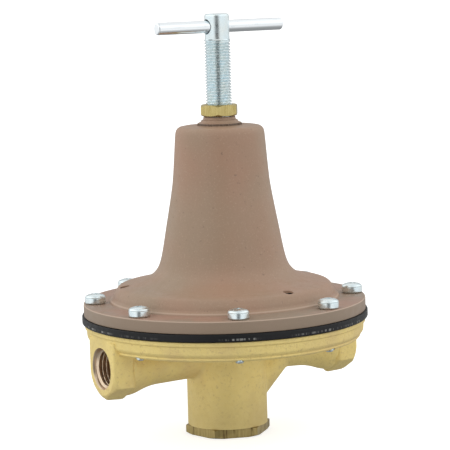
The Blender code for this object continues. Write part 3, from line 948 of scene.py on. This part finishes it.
def inner_pieces(zinc, brass, steel, rubber, fibre):
    """The turned pieces inside, with softened corners."""
    specs = [
        ("spring_follower", "spring_button", "button", zinc, "zinc_plate", [
            (0, 128.2), (8.0, 124.6, 0.6), (11.0, 124.6, 0.8), (11.0, 127.9, 0.3), (15.4, 127.9, 0.4),
            (15.4, 130.9, 0.6), (5.0, 130.9, 0.4), (2.6, 129.7), (0, 129.7)]),
        ("plate", "diaphragm_plate", "stem", zinc, "zinc_plate", [
            (3.3, 55.5), (42.0, 55.5, 1.2), (42.0, PLATE_TOP, 0.4), (41.0, PLATE_TOP, 0.4), (40.4, 57.7, 0.4),
            (17.6, 57.7, 0.4), (16.6, PLATE_TOP, 0.4), (3.3, PLATE_TOP)]),
        ("washer", "diaphragm_washer", "stem", brass, "yellow_brass", [
            (3.1, 50.0), (20.0, 50.0, 0.8), (20.0, 51.8), (3.1, 51.8)]),
        ("stem_rod", "valve_stem", "stem", steel, "spring_steel", [
            (0, 6.8), (2.2, 6.8, 0.6), (2.2, 45.6, 0.3), (4.6, 47.2, 0.3), (4.6, 49.7, 0.2), (2.7, 49.7),
            (2.7, 64.6, 0.4), (0, 64.6)]),
        ("seat_ring", "seat", "housing", steel, "spring_steel", [
            (4.4, 24.6, 0.4), (5.6, 24.6, 0.4), (7.05, 26.4, 0.4), (7.05, 30.9), (9.6, 30.9, 0.2),
            (9.6, 33.5, 0.6), (5.4, 33.5, 0.3), (4.4, 32.5, 0.3)]),
        ("seat_washer", "seat_gasket", "housing", fibre, "gasket_fibre", [
            (7.4, 30.1, 0.1), (9.4, 30.1, 0.1), (9.4, 30.6, 0.1), (7.4, 30.6, 0.1)]),
        ("disc", "valve_disc", "stem", rubber, "black_rubber", [
            (2.5, 21.6, 0.2), (6.9, 21.6, 0.3), (6.9, 24.3, 0.3), (2.5, 24.3, 0.2)]),
        ("disc_cup", "disc_holder", "stem", brass, "yellow_brass", [
            (2.5, 17.5), (8.4, 17.5, 0.5), (8.4, 23.2, 0.4), (7.2, 23.2, 0.2), (7.2, 21.3), (2.5, 21.3)]),
        ("plug_seal", "plug_gasket", "housing", rubber, "black_rubber", [
            (14.25, 4.1, 0.3), (15.9, 4.1, 0.3), (15.9, 5.6, 0.3), (14.25, 5.6, 0.3)]),
    ]
    for name, node, rides_on, material, slot, outline in specs:
        dress(lathe(name, arc_corners(outline)), material, rides_on, node, slot)


# ---------------------------------------------------------------- floor, light and camera


def floor():
    """Plain and white. It lights nothing itself: the lower half of the tent does that, more dimly."""
    shader = Shader("pale_floor", (0.55, 0.55, 0.55), 0.7)
    shader.surface.inputs["Emission Color"].default_value = (1, 1, 1, 1)
    shader.surface.inputs["Emission Strength"].default_value = FLOOR_GLOW
    mesh = bpy.data.meshes.new("floor")
    corners = [(x * FLOOR_REACH, y * FLOOR_REACH, 0) for x, y in ((-1, -1), (1, -1), (1, 1), (-1, 1))]
    mesh.from_pydata(corners, [], [(0, 1, 2, 3)])
    mesh.materials.append(shader.material)
    sheet = link("floor", mesh)
    sheet.visible_diffuse = False
    sheet.visible_glossy = False


def camera_axes():
    """(to the camera, level right, right, up), the last two with the photograph's small roll."""
    side, rise = CAMERA_AZIMUTH, CAMERA_HEIGHT_ANGLE
    back = Vector((-math.sin(side) * math.cos(rise), -math.cos(side) * math.cos(rise), math.sin(rise)))
    right = (-back).cross(Vector((0, 0, 1))).normalized()
    up = right.cross(-back)
    cos, sin = math.cos(CAMERA_ROLL), math.sin(CAMERA_ROLL)
    return back, right, cos * right + sin * up, -sin * right + cos * up


def camera():
    data = bpy.data.cameras.new("camera")
    data.sensor_width = SENSOR_WIDTH
    data.lens = LENS
    data.clip_end = 100
    eye = bpy.data.objects.new("camera", data)
    back, level_right, right, up = camera_axes()
    turn = Matrix((right, up, back)).transposed().to_4x4()
    aim = CAMERA_AIM_SIDE * level_right + Vector((0, 0, CAMERA_AIM_HEIGHT))
    eye.matrix_world = Matrix.Translation(aim + CAMERA_DISTANCE * back) @ turn
    bpy.context.scene.collection.objects.link(eye)
    bpy.context.scene.camera = eye


def studio():
    """A soft tent: brightest at the sides, dimmer overhead and below, with a dark gap on the camera's side.

    It also dims behind the object, and the table in front throws some light up.
    """
    world = bpy.data.worlds.new("studio")
    bpy.context.scene.world = world
    world.use_nodes = True
    tree = world.node_tree
    light = tree.nodes["Background"]
    where = tree.nodes.new("ShaderNodeTexCoord").outputs["Generated"]
    split = tree.nodes.new("ShaderNodeSeparateXYZ")
    tree.links.new(where, split.inputs["Vector"])
    rise = split.outputs["Z"]

    def curve(value, points):
        """A grey level for each value, smooth through the points, which come in order."""
        node = tree.nodes.new("ShaderNodeFloatCurve")
        line = node.mapping.curves[0].points
        for x, y in points[1:-1]:
            line.new(x, y)
        for point, place_on_curve in zip(line, points):
            point.location = place_on_curve
            point.handle_type = "AUTO"
        node.mapping.update()
        tree.links.new(value, node.inputs["Value"])
        return node.outputs["Value"]

    def smooth(value, low, high, start, end):
        """Goes from start to end as value goes from low to high."""
        node = tree.nodes.new("ShaderNodeMapRange")
        node.interpolation_type = "SMOOTHSTEP"
        for name, number in (("From Min", low), ("From Max", high), ("To Min", start), ("To Max", end)):
            node.inputs[name].default_value = number
        tree.links.new(value, node.inputs["Value"])
        return node.outputs["Result"]

    def along(direction):
        """How far each way of looking points along direction."""
        node = tree.nodes.new("ShaderNodeVectorMath")
        node.operation = "DOT_PRODUCT"
        node.inputs[1].default_value = direction
        tree.links.new(where, node.inputs[0])
        return node.outputs["Value"]

    def cosine_of(degrees):
        return math.cos(math.radians(degrees))

    def compute(operation, *values):
        return math_node(tree, operation, *values)

    level = curve(compute("MULTIPLY_ADD", rise, 0.5, 0.5), LIGHT_BY_HEIGHT)
    front = Vector((-math.sin(CAMERA_AZIMUTH), -math.cos(CAMERA_AZIMUTH), 0))
    flat = compute("SQRT", compute("SUBTRACT", 1.0, compute("POWER", rise, 2.0)))
    cosine = compute("DIVIDE", along(front), compute("MAXIMUM", flat, 0.02))
    gap = smooth(cosine, cosine_of(GAP_OUTER), cosine_of(GAP_INNER), 0, 1 - GAP_LEVEL)
    behind = smooth(cosine, -cosine_of(BEHIND_INNER), -cosine_of(BEHIND_OUTER), BEHIND_LOSS, 0)
    fade = smooth(compute("ABSOLUTE", rise), GAP_TOP_START, GAP_TOP_END, 1, GAP_TOP_SHARE)
    dimmed = compute("SUBTRACT", 1.0, compute("MULTIPLY", compute("ADD", gap, behind), fade))
    side = compute("ADD", along(Vector((-front.y, front.x, 0)) * -LEFT_EXTRA), 1.0)
    bounce = compute("MULTIPLY", smooth(rise, BOUNCE_DEPTH, 0.0, BOUNCE, 0), smooth(cosine, 0.0, 0.9, 0, 1))
    strength = compute("MULTIPLY", compute("MULTIPLY", level, dimmed), compute("ADD", side, bounce))
    tree.links.new(compute("MULTIPLY", strength, LIGHT_LEVEL), light.inputs["Strength"])
    light.inputs["Color"].default_value = (*LIGHT_COLOUR, 1)
    bpy.context.scene.view_settings.view_transform = "Standard"


def main():
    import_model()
    camera()
    zinc, brass, steel = zinc_plate(), nut_brass(), spring_steel()
    rubber = plain_rubber()
    body(cast_brass(), machined_brass())
    bell(bronze_coat(), shadowed_hole())
    diaphragm(diaphragm_rubber())
    for number, x, y in bolt_places():
        cover_screw(number, x, y, zinc)
    adjusting_screw(zinc)
    t_bar(bright_steel())
    hex_nut("jam_nut", "lock_nut", "nut", 15.85, 58.0, 5.62, brass)
    hex_nut("plate_nut", "diaphragm_nut", "stem", 11.0, 10.0, 3.0, brass)
    hex_nut("stem_nut", "disc_nut", "stem", 7.0, 0.0, 2.5, brass)
    bottom_plug(plug_brass())
    coil("main_spring", "adjusting_spring", 2.0, 8, steel)
    coil("return_spring", "bottom_spring", 0.6, 6, steel)
    inner_pieces(zinc, brass, steel, rubber, gasket_fibre())
    floor()
    studio()


main()
